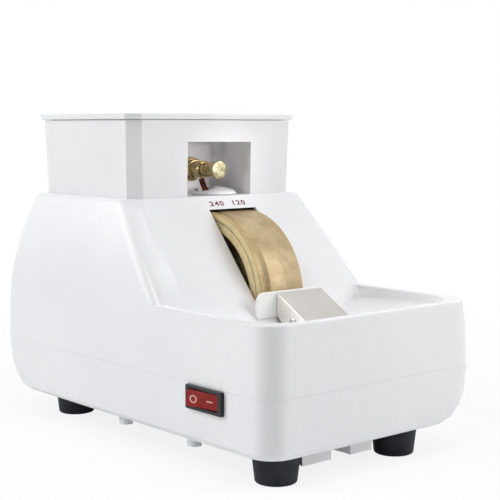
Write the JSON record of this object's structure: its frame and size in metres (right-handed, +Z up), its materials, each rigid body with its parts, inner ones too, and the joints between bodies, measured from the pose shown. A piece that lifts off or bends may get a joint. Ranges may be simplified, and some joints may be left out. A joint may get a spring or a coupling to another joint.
{
  "type": "hand lens edger",
  "caption": "Bench edger for spectacle lenses: a driven grinding wheel behind a tray, with a hand rest, a splash plate, a water tank with a drip valve above, and a rocker switch.",
  "frame": {"origin": "on the surface that the feet stand on, below the middle of the whole machine's box", "axes": "+Y from the tray towards the tank, +X towards the user's right when facing the tray, +Z up"},
  "size_m": [0.1722, 0.2842, 0.1995],
  "materials": {
    "housing_white": "moulded, satin gloss",
    "tank_white": "moulded, satin gloss",
    "splash_white": "smooth white coat",
    "rest_grey": "fine-grained grey coat",
    "cover_grey": "plain moulded",
    "foot_rubber": "moulded, matt",
    "black_plastic": "moulded, satin",
    "switch_red": "glossy",
    "valve_brass": "turned and polished",
    "spout_copper": "dark copper tube",
    "fine_bond": "sintered abrasive bond, fine",
    "coarse_bond": "sintered abrasive bond, coarse",
    "wheel_aluminium": "turned",
    "motor_aluminium": "cast",
    "bright_steel": "turned",
    "bracket_steel": "pressed sheet, zinc plated",
    "screw_steel": "zinc plated",
    "lamination": "stacked sheet, dark",
    "winding_copper": "enamelled wire",
    "capacitor_grey": "plain moulded",
    "terminal_beige": "plain moulded"
  },
  "bodies": {
    "housing": {"upper_housing": "housing_white", "lower_housing": "housing_white", "bottom_cover": "cover_grey", "cable_gland": "black_plastic", "drain_spigot": "black_plastic", "drip_collar": "housing_white", "foot_front_left": "foot_rubber", "foot_front_right": "foot_rubber", "foot_rear_left": "foot_rubber", "foot_rear_right": "foot_rubber", "foot_screw_front_left": "screw_steel", "foot_screw_front_right": "screw_steel", "foot_screw_rear_left": "screw_steel", "foot_screw_rear_right": "screw_steel", "case_screw_1": "screw_steel", "case_screw_2": "screw_steel", "case_screw_3": "screw_steel", "case_screw_4": "screw_steel", "cover_screw_1": "screw_steel", "cover_screw_2": "screw_steel", "motor_bracket": "bracket_steel", "left_end_shield": "motor_aluminium", "right_end_shield": "motor_aluminium", "stator_core": "lamination", "left_winding": "winding_copper", "right_winding": "winding_copper", "left_bearing": "bright_steel", "right_bearing": "bright_steel", "shaft_seal": "foot_rubber", "run_capacitor": "capacitor_grey", "terminal_block": "terminal_beige", "lens_rest": "rest_grey", "rest_screw_left": "screw_steel", "rest_screw_right": "screw_steel", "splash_plate": "splash_white", "switch_body": "black_plastic", "valve_body": "valve_brass", "valve_locknut": "valve_brass", "valve_spout": "spout_copper", "water_tank": "tank_white", "wheel_chamber": "black_plastic"},
    "wheel_spindle": {"motor_shaft": "bright_steel", "rotor": "lamination", "wheel_hub": "wheel_aluminium", "wheel_rim": "wheel_aluminium", "fine_grinding_band": "fine_bond", "coarse_grinding_band": "coarse_bond", "inner_flange": "bright_steel", "outer_flange": "bright_steel", "wheel_nut": "bright_steel"},
    "rocker": {"switch_rocker": "switch_red"},
    "needle": {"valve_stem": "bright_steel"},
    "knob": {"valve_knob": "valve_brass"},
    "lid": {"tank_lid": "tank_white"}
  },
  "joints": [
    {"name": "wheel_spin", "type": "hinge", "parent": "housing", "child": "wheel_spindle", "pos_m": [0.0105, 0.00116, 0.0844], "axis": [1, 0, 0], "continuous": true},
    {"name": "switch_rock", "type": "hinge", "parent": "housing", "child": "rocker", "pos_m": [-0.0812, -0.08965, 0.0425], "axis": [0, 0, -1], "range_deg": [0, 18]},
    {"name": "valve_lift", "type": "slide", "parent": "housing", "child": "needle", "axis": [0, -1, 0], "range_m": [0, 0.0014]},
    {"name": "valve_turn", "type": "hinge", "parent": "needle", "child": "knob", "pos_m": [0.00709, 0.008, 0.1633], "axis": [0, -1, 0], "range_deg": [0, 720]},
    {"name": "lid_lift", "type": "slide", "parent": "housing", "child": "lid", "axis": [0, 0, 1], "range_m": [0, 0.03]}
  ],
  "couplings": [
    {"joint": "valve_lift", "follows": "valve_turn", "m_per_rad": 0.0001114}
  ]
}
